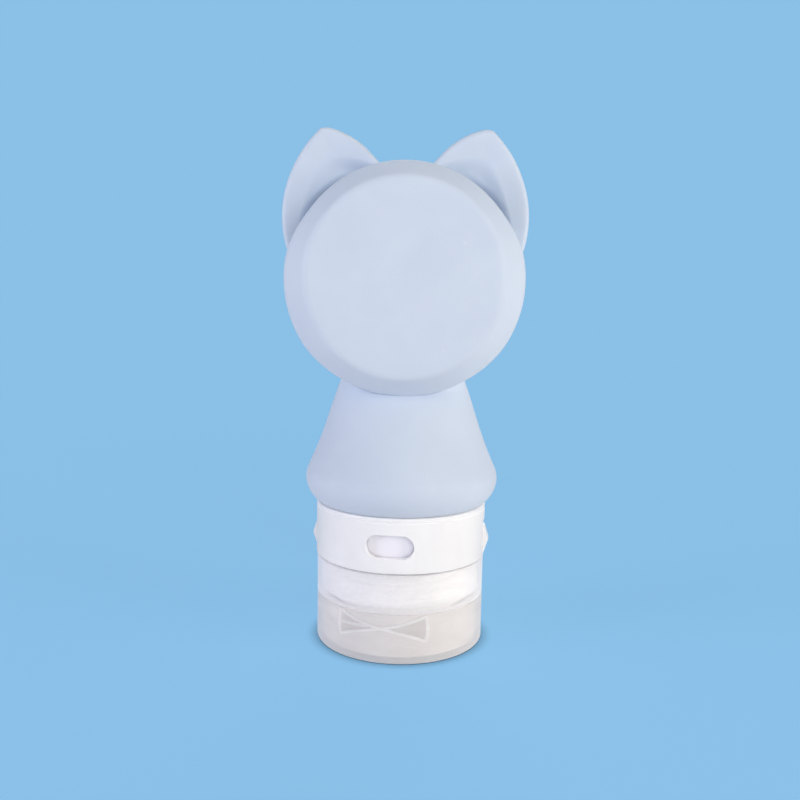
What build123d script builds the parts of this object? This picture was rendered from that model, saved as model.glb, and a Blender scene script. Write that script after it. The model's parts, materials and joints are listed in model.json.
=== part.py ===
from build123d import *

import math
import os

# Travel squeeze bottle of soft silicone, shaped as a plain cat and standing upside down on its flip cap.
# Millimetres and degrees, +Z up. The origin is the centre of the lid's resting face, the front is -Y,
# and +X is on the right as seen from the front.

# Play between pieces
seat_gap = 0.05  # between pieces that sit on or in each other
run_gap = 0.3  # round pieces that turn by hand or flex
thread_gap = 0.25  # between a thread's crest and the wall that it faces
flank_gap = 0.2  # between the flanks that carry the screwed-on cap
cut_over = 1.0  # how far a cut runs past the wall that it goes through

# Spout and sleeve of the mouthpiece, from the bore outwards
bore_radius = 13.4
spout_wall = 1.5
sleeve_wall = 1.35
flange_thickness = 1.8

# Thread
thread_pitch = 3.6
thread_depth = 1.0
thread_root_width = 1.7
thread_crest_width = 0.9
thread_bite = 0.2  # how far a thread is rooted in its wall
thread_end_land = 0.5  # bare wall beyond each end of a thread

# Silicone walls
neck_wall = 2.2
body_wall = 2.2

# Band and collar round the neck
band_wall = 1.25
collar_wall = 1.6
collar_height = 12.5
collar_lip = 1.6  # height of the inward lip that rides on the band
collar_edge_round = 0.3
collar_cap_gap = 0.4
collar_skirt_gap = 0.25
collar_facing = -7.0  # degrees about Z at which the window stands
groove_drop = 1.0  # from the collar's top edge to its groove
groove_size = 0.25
window_width = 10.8
window_height = 5.4
window_rise = 6.0  # from the collar's lower edge to the window's middle
grip_proud = 1.0
grip_width = 3.6
grip_rise = 3.8  # from the collar's lower edge to the grip's point
grip_upper = 3.2  # from the grip's point up to its root, and down to it
grip_lower = 3.0
scoop_radius = 6.0  # shallow hollow above each grip
scoop_depth = 0.35

# Cap base, from the thread outwards
inner_skirt_wall = 1.2
skirt_space = 1.45  # between the threaded skirt and the outer skirt
cap_wall = 1.2
base_height = 8.8
base_edge_round = 0.3
shoulder_thickness = 1.2
inner_skirt_short = 0.8  # how far the threaded skirt stops short of the base's edge
rim_space = 0.6  # between the raised rim and the lid round it
rim_height = 4.4
rim_wall = 1.1
bead_size = 0.15
bead_rise = 1.0  # from the rim's edge to its snap bead
bead_lead = 0.5  # from the rim's bead to the lid's bead
deck_recess = 2.2
deck_thickness = 1.2
cap_facing = -12.0  # degrees about Z at which the screwed-on cap stands

# Seal
seal_thickness = 1.2
seal_width = 2.3

# Orifice, its slit valve and the valve's retainer
orifice_radius = 4.6
orifice_wall = 1.2
orifice_height = 1.8
valve_wall = 0.7
valve_skin = 0.5
valve_flange_width = 2.3
valve_drop = 0.5  # from the deck's outer face out to the slit skin
slit_length = 5.6
slit_width = 0.12
retainer_thickness = 1.2
boss_wall = 1.0
boss_over = 0.4  # how far the boss stands past the retainer

# Flip lid
lid_height = 11.5
lid_plate = 1.3
lid_edge_round = 0.7
lid_rim_round = 0.15
lid_gap = 0.1  # parting line between lid and base
plug_wall = 1.1
plug_gap = 0.5  # play of the plug in the orifice, which lets it swing out
plug_entry = 0.9  # how far the plug reaches into the orifice

# Bow outline raised on the lid's front. Its drawing is in shares of half its length and half its height.
bow_length = 20.6
bow_height = 5.6
bow_rise = 8.25  # from the resting face to the bow's middle
bow_line = 0.65
bow_proud = 0.3
bow_edge_share = (0.5, 0.4)  # the lobes' edges curve in through this point
bow_end_share = (1.04, 0.0)  # and their ends bulge out to this one
bow_fold_shares = ((-0.97, 0.05), (-0.3, 0.1))

# Living hinge at the back of the cap
hinge_recess = 0.65
hinge_flat = 2.4  # how far the flats run from the parting line
web_thickness = 0.35
web_width = 8.0
web_reach = 1.8  # how far the film runs from the parting line

# Skirt and cone of the bottle
skirt_overhang = 2.75
skirt_round = 7.0
skirt_rise = 5.75  # from the shoulder over the collar to the widest point
cone_angle = 20.75  # degrees between the cone's side and its axis
cone_end_share = 0.65  # of the head's radius, where the cone ends below the head's middle

# Head, a drum lying on its side with chamfered faces
head_rise = 46.1  # from the skirt's widest point to the head's middle
head_radius = 26.75
head_depth = 34.0
head_chamfer = 5.15
head_chamfer_depth = 5.5
head_edge_round = 3.0

# Ears, cups with a thin rim that stand on the drum. Outline points are shares of the head's radius.
ear_front = 0.5  # where the rim lies along Y
ear_depth = 8.0
ear_lean = 10.0  # degrees by which the back closes in on the front towards the tip
ear_back_round_share = 0.112
ear_scoop_depth = 3.6
ear_scoop_taper = 25.0  # degrees
ear_foot_angles = (6.5, 81.5)
ear_shares = {
    "low": (1.062, 0.275),
    "outer": (1.011, 0.950),
    "tip": (0.740, 1.329),
    "crown": (0.680, 1.334),
    "inner": (0.482, 1.260),
    "heel": (0.299, 1.114),
}
scoop_foot_angles = (12.0, 74.0)
scoop_shares = {
    "low": (1.010, 0.320),
    "outer": (0.935, 0.860),
    "tip": (0.690, 1.190),
    "crown": (0.640, 1.195),
    "inner": (0.480, 1.135),
    "heel": (0.340, 1.020),
}

# Radii, worked out from the bore outwards
sleeve_radius = bore_radius + sleeve_wall
neck_bore = sleeve_radius + seat_gap
neck_radius = neck_bore + neck_wall
band_bore = neck_radius + seat_gap
band_radius = band_bore + band_wall
collar_bore = band_radius + run_gap
collar_radius = collar_bore + collar_wall
skirt_radius = collar_radius + skirt_overhang

spout_radius = bore_radius + spout_wall
spout_crest = spout_radius + thread_depth
cap_crest = spout_radius + thread_gap
cap_root = spout_crest + thread_gap
inner_skirt_radius = cap_root + inner_skirt_wall
cap_bore = inner_skirt_radius + skirt_space
cap_radius = cap_bore + cap_wall
rim_radius = cap_bore - rim_space
seal_radius = cap_root - thread_gap

valve_radius = orifice_radius - run_gap
valve_bore = valve_radius - valve_wall
valve_flange_radius = valve_radius + valve_flange_width
boss_bore = valve_flange_radius + run_gap
plug_radius = orifice_radius - plug_gap
hinge_face = cap_radius - hinge_recess

# Heights, worked out from the resting face upwards
parting_z = lid_height + lid_gap / 2
base_z = lid_height + lid_gap
base_top = base_z + base_height
rim_z = base_z - rim_height
bead_z = rim_z + bead_rise
deck_z = rim_z + deck_recess
deck_top = deck_z + deck_thickness
orifice_z = deck_z - orifice_height
valve_z = deck_top + seat_gap
valve_top = valve_z + valve_wall
retainer_z = valve_top + seat_gap
retainer_top = retainer_z + retainer_thickness
seal_z = deck_top + seat_gap
lip_z = seal_z + seal_thickness + seat_gap
collar_z = base_top + collar_cap_gap
collar_top = collar_z + collar_height
flange_top = collar_z + flange_thickness
band_z = flange_top + seat_gap
band_top = collar_top - collar_lip - run_gap
shoulder_z = collar_top + collar_skirt_gap
skirt_z = shoulder_z + skirt_rise
head_z = skirt_z + head_rise
cone_top = head_z - cone_end_share * head_radius

# Thread runs. The cap's thread lies above the spout's, which it pulls against.
thread_end = thread_end_land + thread_root_width / 2
thread_shift = (thread_root_width + thread_crest_width) / 2 + flank_gap
spout_run = (lip_z + thread_end, collar_z - thread_end)
cap_run = (
    spout_run[0] + thread_shift + thread_pitch * cap_facing / 360,
    base_top - inner_skirt_short - thread_end,
)


def ring(outer, inner, bottom, top):
    """Tube about Z between two heights."""
    return Pos(0, 0, bottom) * extrude(Circle(outer) - Circle(inner), top - bottom)


def disc(radius, bottom, top):
    """Plain round plate about Z between two heights."""
    return Pos(0, 0, bottom) * extrude(Circle(radius), top - bottom)


def turned(*points):
    """Solid of revolution about Z, from an outline of (radius, height) points."""
    return revolve(Plane.XZ * make_face(Polyline(*points, close=True)), Axis.Z)


def bead(wall_radius, middle, proud):
    """Bead of triangular section that stands out of a round wall, or into its bore if proud is negative."""
    half = abs(proud)
    return turned(
        (wall_radius - proud, middle - half), (wall_radius, middle - half), (wall_radius + proud, middle),
        (wall_radius, middle + half), (wall_radius - proud, middle + half),
    )


def thread(root, crest, run):
    """Blunt-ended helical ridge that stands out of, or into, a round wall at the root radius."""
    bitten = root + math.copysign(thread_bite, root - crest)
    half_root, half_crest = thread_root_width / 2, thread_crest_width / 2
    section = make_face(Polyline(
        (bitten, -half_root), (crest, -half_crest), (crest, half_crest), (bitten, half_root), close=True,
    ))
    path = Helix(thread_pitch, run[1] - run[0], root)
    return Pos(0, 0, run[0]) * sweep(Plane.XZ * section, path, is_frenet=True)


def round_edges(solid, height, radius, amount):
    """Solid with its circular edges of one height and radius rounded."""
    edges = [
        edge for edge in solid.edges().filter_by(GeomType.CIRCLE)
        if math.isclose(edge.center().Z, height, abs_tol=seat_gap)
        and math.isclose(edge.radius, radius, abs_tol=seat_gap)
    ]
    return fillet(edges, amount)


def facing(angle):
    """Turn about Z that brings a piece drawn with its front on -Y to where it stands."""
    return Rot(0, 0, angle)


def drum(inset):
    """Chamfered and rounded drum about Y, drawn in from the head's surface by the inset."""
    radius, half = head_radius - inset, head_depth / 2 - inset
    drawn_in = inset * (2 - math.sqrt(2))
    chamfer, chamfer_depth = head_chamfer - drawn_in, head_chamfer_depth - drawn_in
    face = make_face(Polyline(
        (0, -half), (radius - chamfer, -half), (radius, chamfer_depth - half),
        (radius, half - chamfer_depth), (radius - chamfer, half), (0, half), close=True,
    ))
    corners = [corner for corner in face.vertices() if corner.X > 0]
    return Pos(0, 0, head_z) * revolve(fillet(corners, head_edge_round), Axis.Y)


def skirted_cone(inset, stem_radius, bottom, floor):
    """Stem, rounded skirt and cone about Z, drawn in from the outer surface by the inset."""
    arc_x, arc_radius = skirt_radius - skirt_round, skirt_round - inset
    slope = math.radians(cone_angle)
    low = -math.asin((skirt_z - floor) / arc_radius)

    def on_arc(angle):
        return (arc_x + arc_radius * math.cos(angle), skirt_z + arc_radius * math.sin(angle))

    tangent_x, tangent_z = on_arc(slope)
    top_radius = tangent_x - (cone_top - tangent_z) * math.tan(slope)
    outline = [
        Polyline((0, cone_top), (0, bottom), (stem_radius, bottom), (stem_radius, floor), on_arc(low)),
        ThreePointArc(on_arc(low), on_arc((low + slope) / 2), on_arc(slope)),
        Polyline(on_arc(slope), (top_radius, cone_top), (0, cone_top)),
    ]
    return revolve(Plane.XZ * make_face(outline), Axis.Z)


def ear_sketch(shares, foot_angles):
    """Ear outline: foot along the middle of the drum's wall, broad outer side, blunt tip, flatter inner side."""
    at = {name: (head_radius * across, head_radius * up) for name, (across, up) in shares.items()}

    def foot(angle):
        radius = head_radius - body_wall / 2
        return (radius * math.cos(math.radians(angle)), radius * math.sin(math.radians(angle)))

    outer_foot, inner_foot = foot(foot_angles[0]), foot(foot_angles[1])
    return make_face([
        ThreePointArc(inner_foot, foot(sum(foot_angles) / 2), outer_foot),
        Line(outer_foot, at["low"]),
        ThreePointArc(at["low"], at["outer"], at["tip"]),
        Line(at["tip"], at["crown"]),
        ThreePointArc(at["crown"], at["inner"], at["heel"]),
        Line(at["heel"], inner_foot),
    ])


def ear():
    """Right ear: a leaf that thins towards its tip, with a rounded back and a scooped front."""
    leaf = extrude(Plane.XZ * ear_sketch(ear_shares, ear_foot_angles), -ear_depth)
    middle = sum(ear_foot_angles) / 2
    foot_reach = (head_radius - body_wall / 2) * math.cos(math.radians(middle - ear_foot_angles[0]))
    behind = Box(4 * head_radius, ear_depth, 4 * head_radius, align=(Align.CENTER, Align.MIN, Align.CENTER))
    leaf -= Rot(0, -middle, 0) * Pos(foot_reach, ear_depth, 0) * Rot(0, 0, -ear_lean) * behind
    back = leaf.faces().sort_by(Axis.Y)[-1]
    outer_edges = [edge for edge in back.edges() if math.hypot(edge.center().X, edge.center().Z) > head_radius]
    leaf = fillet(outer_edges, ear_back_round_share * head_radius)
    scoop = extrude(Plane.XZ * ear_sketch(scoop_shares, scoop_foot_angles), -ear_scoop_depth, taper=ear_scoop_taper)
    return Pos(0, ear_front, head_z) * (leaf - scoop)


def make_bottle_body():
    """Hollow silicone bottle in one piece: neck, skirt, cone, head and ears."""
    outside = skirted_cone(0, neck_radius, band_z, shoulder_z) + drum(0)
    inside = skirted_cone(body_wall, neck_bore, band_z, shoulder_z + body_wall) + drum(body_wall)
    right_ear = ear()
    hollow = outside + right_ear + mirror(right_ear, Plane.YZ) - inside
    print(f"inside of the bottle: {inside.volume / 1000:.0f} ml")
    return hollow - disc(neck_bore, band_z - cut_over, shoulder_z)


def make_neck_fitment():
    """Mouthpiece: threaded spout, flange and the sleeve inside the silicone neck."""
    spout = ring(spout_radius, bore_radius, lip_z, collar_z)
    flange = ring(band_radius, bore_radius, collar_z, flange_top)
    sleeve = ring(sleeve_radius, bore_radius, flange_top, band_top)
    return spout + flange + sleeve + thread(spout_radius, spout_crest, spout_run)


def make_label_band():
    """Sleeve that clamps the silicone neck and shows in the collar's window."""
    return ring(band_radius, band_bore, band_z, band_top)


def make_window_collar():
    """Ring that turns round the band, with a window, a lip inside its top and two finger grips."""
    collar = round_edges(ring(collar_radius, collar_bore, collar_z, collar_top), collar_top, collar_radius,
                         collar_edge_round)
    collar = round_edges(collar, collar_z, collar_radius, collar_edge_round)
    collar += ring(collar_bore + collar_wall / 2, neck_radius + run_gap, band_top + run_gap, collar_top)
    collar -= bead(collar_radius, collar_top - groove_drop, -groove_size)
    window = Plane.XZ * Pos(0, collar_z + window_rise) * SlotOverall(window_width, window_height)
    collar -= extrude(window, collar_radius + cut_over)
    grip_z = collar_z + grip_rise
    root = collar_radius - collar_wall / 2
    wedge = make_face(Polyline(
        (root, grip_z + grip_upper), (collar_radius, grip_z + grip_upper), (collar_radius + grip_proud, grip_z),
        (collar_radius, grip_z - grip_lower), (root, grip_z - grip_lower), close=True,
    ))
    grip = extrude(Plane.XZ * wedge, grip_width / 2, both=True)
    scoop_x = collar_radius + scoop_radius - scoop_depth
    scoop = Pos(scoop_x, 0, grip_z + grip_upper) * Rot(90, 0, 0) * Cylinder(scoop_radius, 2 * grip_width)
    for side in (0, 180):
        collar = collar - Rot(0, 0, side) * scoop + Rot(0, 0, side) * grip
    return facing(collar_facing) * collar


def hinge_cut(bottom, top):
    """Space outside the flat on which the hinge film lies, at the back of the cap."""
    depth = hinge_recess + cut_over
    block = Box(2 * cap_radius, depth, top - bottom, align=(Align.CENTER, Align.MIN, Align.MIN))
    return Pos(0, hinge_face, bottom) * block


def make_cap_base():
    """Screw base: outer skirt, threaded skirt, recessed deck with its orifice, and the rim that the lid closes over."""
    outer_skirt = ring(cap_radius, cap_bore, base_z, base_top)
    base = round_edges(outer_skirt, base_top, cap_radius, base_edge_round)
    base += ring(cap_bore + cap_wall / 2, cap_root, base_z, base_z + shoulder_thickness)
    base += ring(inner_skirt_radius, cap_root, deck_z, base_top - inner_skirt_short)
    base += ring(rim_radius, rim_radius - rim_wall, rim_z, base_z + shoulder_thickness)
    base += bead(rim_radius, bead_z, bead_size)
    base += disc(rim_radius, deck_z, deck_top)
    base += disc(orifice_radius + orifice_wall, orifice_z, deck_top)
    base -= disc(orifice_radius, orifice_z - cut_over, deck_top + cut_over)
    base += ring(boss_bore + boss_wall, boss_bore, deck_top, retainer_top + boss_over)
    base += thread(cap_root, cap_crest, cap_run)
    base -= hinge_cut(base_z, base_z + hinge_flat)
    return facing(cap_facing) * base


def make_seal_ring():
    """Flat gasket between the spout's lip and the deck."""
    return ring(seal_radius, seal_radius - seal_width, seal_z, seal_z + seal_thickness)


def make_drip_valve():
    """Hat-shaped silicone valve whose skin opens in a cross slit when the bottle is squeezed."""
    skin_z = deck_z - valve_drop
    valve = ring(valve_radius, valve_bore, skin_z, valve_top)
    valve += ring(valve_flange_radius, valve_bore, valve_z, valve_top)
    valve += disc(valve_radius, skin_z, skin_z + valve_skin)
    slit = Pos(0, 0, skin_z) * Box(slit_length, slit_width, valve_skin * 3)
    return facing(cap_facing) * (valve - slit - Rot(0, 0, 90) * slit)


def make_valve_retainer():
    """Ring pressed into the boss behind the valve's flange."""
    return ring(boss_bore - seat_gap, valve_bore, retainer_z, retainer_top)


def bow_point(along, up):
    """Point of the bow's flat drawing, placed so that it lands at its arc length round the lid."""
    arc = along * bow_length / 2 / cap_radius
    return (cap_radius * math.sin(arc), bow_rise + up * bow_height / 2)


def make_bow():
    """Raised outline of a tied bow: crossed curved edges, closed ends and one fold line."""
    strokes = [Line(*(bow_point(*share) for share in bow_fold_shares))]
    for side in (-1, 1):
        corners = [bow_point(side, up) for up in (-1, 1)]
        end = bow_point(side * bow_end_share[0], bow_end_share[1])
        strokes.append(ThreePointArc(corners[0], end, corners[1]))
        for up, corner in zip((-1, 1), corners):
            middle = bow_point(side * bow_edge_share[0], up * bow_edge_share[1])
            strokes.append(ThreePointArc(corner, middle, bow_point(0, 0)))
    drawing = Sketch() + [trace(stroke, bow_line) for stroke in strokes]
    ends = [stroke @ place for stroke in strokes for place in (0, 1)]
    drawing += [Pos(end.X, end.Y) * Circle(bow_line / 2) for end in ends]
    shell = ring(cap_radius + bow_proud, cap_radius - cap_wall / 2, 0, lid_height)
    return extrude(Plane.XZ * drawing, cap_radius + cut_over) & shell


def make_flip_lid():
    """Cup-shaped flip lid with the plug inside and the bow outline on its front."""
    lid = disc(cap_radius, 0, lid_height)
    lid = round_edges(lid, 0, cap_radius, lid_edge_round)
    lid = round_edges(lid, lid_height, cap_radius, lid_rim_round)
    lid -= disc(cap_bore, lid_plate, lid_height + cut_over)
    lid += bead(cap_bore, bead_z + bead_lead, -bead_size)
    lid += ring(plug_radius, plug_radius - plug_wall, lid_plate, orifice_z + plug_entry)
    lid += make_bow()
    lid -= hinge_cut(lid_height - hinge_flat, lid_height)
    return facing(cap_facing) * lid


def make_hinge_web():
    """Thin film that joins lid and base across the parting line."""
    film = Box(web_width, web_thickness, 2 * web_reach, align=(Align.CENTER, Align.MIN, Align.CENTER))
    return facing(cap_facing) * Pos(0, hinge_face, parting_z) * film


pieces = {
    "bottle_body": make_bottle_body,
    "neck_fitment": make_neck_fitment,
    "label_band": make_label_band,
    "window_collar": make_window_collar,
    "cap_base": make_cap_base,
    "seal_ring": make_seal_ring,
    "drip_valve": make_drip_valve,
    "valve_retainer": make_valve_retainer,
    "flip_lid": make_flip_lid,
    "hinge_web": make_hinge_web,
}

os.makedirs("parts", exist_ok=True)
for name, make in pieces.items():
    export_step(make(), f"parts/{name}.step")

hinge_line = facing(cap_facing) * Pos(0, hinge_face + web_thickness / 2, parting_z)
print("hinge line:", hinge_line.position)
print("cap travel that clears the spout:", base_top - lip_z, "mm, pitch", thread_pitch)
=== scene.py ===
"""Soft silicone travel bottle on its frosted flip cap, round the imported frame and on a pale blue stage."""
import json
import math

import bpy
import numpy as np
from bpy.props import FloatProperty, FloatVectorProperty, PointerProperty
from mathutils import Matrix, Vector


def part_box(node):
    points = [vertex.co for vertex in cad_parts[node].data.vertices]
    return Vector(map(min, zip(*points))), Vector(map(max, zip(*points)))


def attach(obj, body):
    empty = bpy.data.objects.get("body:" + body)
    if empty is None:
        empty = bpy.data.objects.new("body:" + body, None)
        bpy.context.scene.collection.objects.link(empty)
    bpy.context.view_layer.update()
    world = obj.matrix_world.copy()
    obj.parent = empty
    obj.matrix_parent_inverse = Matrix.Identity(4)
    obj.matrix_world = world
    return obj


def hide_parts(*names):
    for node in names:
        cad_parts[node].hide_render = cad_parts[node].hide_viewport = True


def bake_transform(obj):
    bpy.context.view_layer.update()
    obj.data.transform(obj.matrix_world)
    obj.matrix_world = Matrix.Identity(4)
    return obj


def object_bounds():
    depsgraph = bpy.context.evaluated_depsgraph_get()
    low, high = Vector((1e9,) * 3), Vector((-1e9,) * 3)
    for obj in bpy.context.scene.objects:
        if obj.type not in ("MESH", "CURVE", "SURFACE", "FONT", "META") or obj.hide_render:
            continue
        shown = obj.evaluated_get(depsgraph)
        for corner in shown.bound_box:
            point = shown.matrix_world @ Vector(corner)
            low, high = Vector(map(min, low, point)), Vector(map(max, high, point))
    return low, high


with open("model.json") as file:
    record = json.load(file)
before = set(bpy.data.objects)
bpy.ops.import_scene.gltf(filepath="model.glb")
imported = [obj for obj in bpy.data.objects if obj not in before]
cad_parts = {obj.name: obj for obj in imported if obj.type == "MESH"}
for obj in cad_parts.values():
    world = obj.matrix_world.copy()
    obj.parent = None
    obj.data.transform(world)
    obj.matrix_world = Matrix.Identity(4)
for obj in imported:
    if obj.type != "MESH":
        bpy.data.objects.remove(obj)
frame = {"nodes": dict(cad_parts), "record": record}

bl_info = {
    "name": "Travel Silicone Bottle",
    "version": (1, 0, 0),
    "blender": (4, 5, 0),
    "location": "3D View > Sidebar > Travel Bottle",
    "description": "Dresses the frame of a silicone travel bottle and sets it on its stage",
    "category": "Object",
}

MM = 0.001
cad_low, cad_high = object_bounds()


def joint_of(name):
    """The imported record's entry for one joint."""
    return next(joint for joint in frame["record"]["behaviour"]["joints"] if joint["name"] == name)


def length(name, description, default):
    """Size that a user may change, in metres."""
    return FloatProperty(
        name=name, description=description, default=default, min=0.0, unit="LENGTH", precision=5,
    )


def tilt(name, description, degrees):
    """Angle that a user may change."""
    return FloatProperty(name=name, description=description, default=math.radians(degrees), subtype="ANGLE")


def colour(name, description, default):
    """Colour that a user may change, as linear red, green and blue."""
    return FloatVectorProperty(
        name=name, description=description, default=default, size=3, min=0.0, max=1.0, subtype="COLOR",
    )


class BottleSizes(bpy.types.PropertyGroup):
    """Sizes of the silicone bottle's outer form and walls."""

    wall: length("Wall", "Thickness of the silicone wall", 2.2 * MM)
    skirt_radius: length("Skirt radius", "Radius of the skirt at its widest", cad_high.y - 0.15 * MM)
    skirt_round: length("Skirt round", "Radius of the skirt's rounded rim", 7.0 * MM)
    skirt_rise: length("Skirt rise", "From the collar's top up to the skirt's widest point", 6.0 * MM)
    cone_angle: tilt("Cone angle", "Angle between the cone's side and its axis", 20.75)
    cone_hollow: length("Cone hollow", "How far the cone's side draws in half way up", 0.45 * MM)
    waist_draw: length("Waist draw", "How far front and back of the waist are drawn in", 2.2 * MM)
    waist_pinch: length("Waist pinch", "How much further they are drawn in just below the head", 3.0 * MM)
    waist_flare: length("Waist flare", "How far the cone flares where it meets the head", 0.15 * MM)
    waist_reach: length("Waist reach", "How far below the head the flare begins", 2.4 * MM)
    head_rise: length("Head rise", "From the skirt's widest point to the head's middle", 46.1 * MM)
    head_radius: length("Head radius", "Radius of the drum-shaped head", 26.95 * MM)
    head_depth: length("Head depth", "From the head's flat front to its back", 34.0 * MM)
    head_chamfer: length("Head chamfer", "How far the chamfer draws the head's face in", 5.15 * MM)
    head_chamfer_depth: length("Head chamfer depth", "How far the chamfer runs along the wall", 5.5 * MM)
    head_edge_round: length("Head edge round", "Radius that softens both edges of the chamfer", 3.0 * MM)
    head_crown: length("Head crown", "How far the middle of the flat faces swells", 0.3 * MM)
    head_settle: length("Head settle", "How far the head's wall is drawn in at the top", 0.95 * MM)
    head_lift: length("Head lift", "How far the head's wall is drawn in at the bottom", 0.7 * MM)


class EarSizes(bpy.types.PropertyGroup):
    """Sizes of the cupped ears."""

    front: length("Front", "Where the ear's rim lies behind the head's middle", 0.5 * MM)
    depth: length("Depth", "Thickness of the ear at its foot", 8.0 * MM)
    lean: tilt("Lean", "Angle by which the back closes in on the front towards the tip", 10.0)
    rim_round: length("Rim round", "Radius of the front edge of the rim", 1.1 * MM)
    back_round: length("Back round", "Radius of the edge at the ear's back", 3.0 * MM)
    settle: length("Settle", "How far the ear's top settles with the head's", 0.85 * MM)
    band_sink: length("Band sink", "How far the broad band slopes in from the rim", 0.4 * MM)
    band_width: length("Band width", "How wide the sloping band is", 5.5 * MM)
    bowl_depth: length("Bowl depth", "Depth of the bowl below its band, next to the head", 3.7 * MM)
    bowl_edge: length("Bowl edge", "Width of the soft step into the bowl", 3.4 * MM)
    pocket_depth: length("Pocket depth", "How much deeper the bowl is right beside the head", 2.6 * MM)


class FilmSizes(bpy.types.PropertyGroup):
    """Sizes of the living hinge's film."""

    width: length("Width", "Width of the film along the hinge line", 8.0 * MM)
    reach: length("Reach", "How far the film runs each way from the hinge line", 1.8 * MM)
    thickness: length("Thickness", "Thickness of the film at its roots", 0.35 * MM)
    waist: length("Waist", "Thickness of the film at the hinge line", 0.2 * MM)


class BottleColours(bpy.types.PropertyGroup):
    """Colours of the bottle's materials and of the stage."""

    silicone: colour("Silicone", "Light blue of the silicone", (0.625, 0.70, 0.81))
    silicone_shade: colour("Silicone clouding", "Slightly deeper blue that clouds it", (0.60, 0.675, 0.795))
    white: colour("White plastic", "White of the collar and the mouthpiece", (0.93, 0.92, 0.93))
    band: colour("Band", "Lavender white of the band in the window", (0.94, 0.91, 0.985))
    frosted: colour("Frosted plastic", "Milky white of the cap", (0.98, 0.97, 0.985))
    lid: colour("Lid plastic", "Slightly warmer grey of the flip lid", (0.83, 0.80, 0.79))
    gasket: colour("Gasket", "White of the sealing ring", (0.8, 0.8, 0.8))
    valve: colour("Valve", "Milky white of the slit valve", (0.84, 0.86, 0.88))
    backdrop: colour("Backdrop", "Pale blue of floor and background", (0.2582, 0.5271, 0.7991))


def settings(name):
    """One of the scene's property groups."""
    return getattr(bpy.context.scene, name)


# Meshes

corner_steps = 9  # points on the arc that rounds one corner of an outline


def grid_quads(rows, columns, closed):
    """Corner numbers of a grid's quads, row by row; a closed grid joins its last column to its first."""
    spans = columns if closed else columns - 1
    row, column = np.meshgrid(np.arange(rows - 1) * columns, np.arange(spans), indexing="ij")
    beside, after = (column + 1) % columns, row + columns
    return np.stack((row + column, row + beside, after + beside, after + column), axis=-1).reshape(-1, 4)


def mesh_object(name, points, faces):
    """Object at the origin whose mesh has these points and faces."""
    mesh = bpy.data.meshes.new(name)
    mesh.from_pydata(points.tolist(), [], faces)
    mesh.validate()
    made = bpy.data.objects.new(name, mesh)
    bpy.context.scene.collection.objects.link(made)
    return made


def ringed_object(name, rings, start, end):
    """Closed surface of rings of points, one ring a row, with each end drawn together in one point."""
    rows, columns, _ = rings.shape
    points = np.concatenate((rings.reshape(-1, 3), [start], [end]))
    here = np.arange(columns)
    beside = (here + 1) % columns
    first_fan = np.stack((np.full(columns, rows * columns), beside, here), axis=-1)
    last_ring = (rows - 1) * columns
    last_fan = np.stack((np.full(columns, rows * columns + 1), last_ring + here, last_ring + beside), axis=-1)
    faces = grid_quads(rows, columns, True).tolist() + first_fan.tolist() + last_fan.tolist()
    return mesh_object(name, points, faces)


def arc(centre, radius, start, end, steps):
    """Points on a circle from one angle to another."""
    angle = np.linspace(start, end, steps)
    return np.stack((centre[0] + radius * np.cos(angle), centre[1] + radius * np.sin(angle)), axis=-1)


def arc_through(a, b, c, steps):
    """Points on the circle through three points, from the first past the second to the third."""
    (ax, ay), (bx, by), (cx, cy) = a, b, c
    twice = 2 * (ax * (by - cy) + bx * (cy - ay) + cx * (ay - by))
    squares = (ax * ax + ay * ay, bx * bx + by * by, cx * cx + cy * cy)
    x = (squares[0] * (by - cy) + squares[1] * (cy - ay) + squares[2] * (ay - by)) / twice
    y = (squares[0] * (cx - bx) + squares[1] * (ax - cx) + squares[2] * (bx - ax)) / twice
    start, past, end = (math.atan2(point[1] - y, point[0] - x) for point in (a, b, c))
    turn = (end - start) % math.tau
    if (past - start) % math.tau > turn:
        turn -= math.tau
    return arc((x, y), math.hypot(ax - x, ay - y), start, start + turn, steps)


def spaced(start, end, spacing):
    """Points on a straight line, its end left out, no further apart than the spacing."""
    start, end = Vector(start), Vector(end)
    steps = max(1, math.ceil((end - start).length / spacing))
    share = np.linspace(0.0, 1.0, steps, endpoint=False)[:, None]
    return np.array(start) + share * (np.array(end) - np.array(start))


def softened(corners, radius, spacing):
    """Open outline whose inner corners are rounded, with points no further apart than the spacing."""
    corners = [Vector(corner) for corner in corners]
    runs, last = [], corners[0]
    for before, corner, after in zip(corners, corners[1:], corners[2:]):
        back, ahead = (before - corner).normalized(), (after - corner).normalized()
        half = back.angle(ahead) / 2
        start, end = corner + back * radius / math.tan(half), corner + ahead * radius / math.tan(half)
        centre = corner + (back + ahead).normalized() * radius / math.sin(half)
        middle = centre + (corner - centre).normalized() * radius
        runs += [spaced(last, start, spacing), arc_through(start, middle, end, corner_steps)[:-1]]
        last = end
    runs.append(spaced(last, corners[-1], spacing))
    return np.concatenate((*runs, [tuple(corners[-1])]))


def smoothstep(low, high, value):
    """Rises from 0 at low to 1 at high, level at both ends."""
    share = np.clip((value - low) / (high - low), 0.0, 1.0)
    return share * share * (3 - 2 * share)


def combine(base, other, operation):
    """Exact Boolean of two closed meshes, kept in the first; the second is used up."""
    change = base.modifiers.new("Combine", "BOOLEAN")
    change.operation, change.solver, change.object = operation, "EXACT", other
    evaluated = base.evaluated_get(bpy.context.evaluated_depsgraph_get())
    result = bpy.data.meshes.new_from_object(evaluated)
    used = (base.data, other.data)
    base.modifiers.clear()
    base.data = result
    bpy.data.objects.remove(other)
    for mesh in used:
        bpy.data.meshes.remove(mesh)


def shade(piece, degrees):
    """Smooth shading, with edges that turn by more than the angle kept sharp."""
    piece.data.shade_smooth()
    piece.data.set_sharp_from_angle(angle=math.radians(degrees))


# Node helpers

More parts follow.
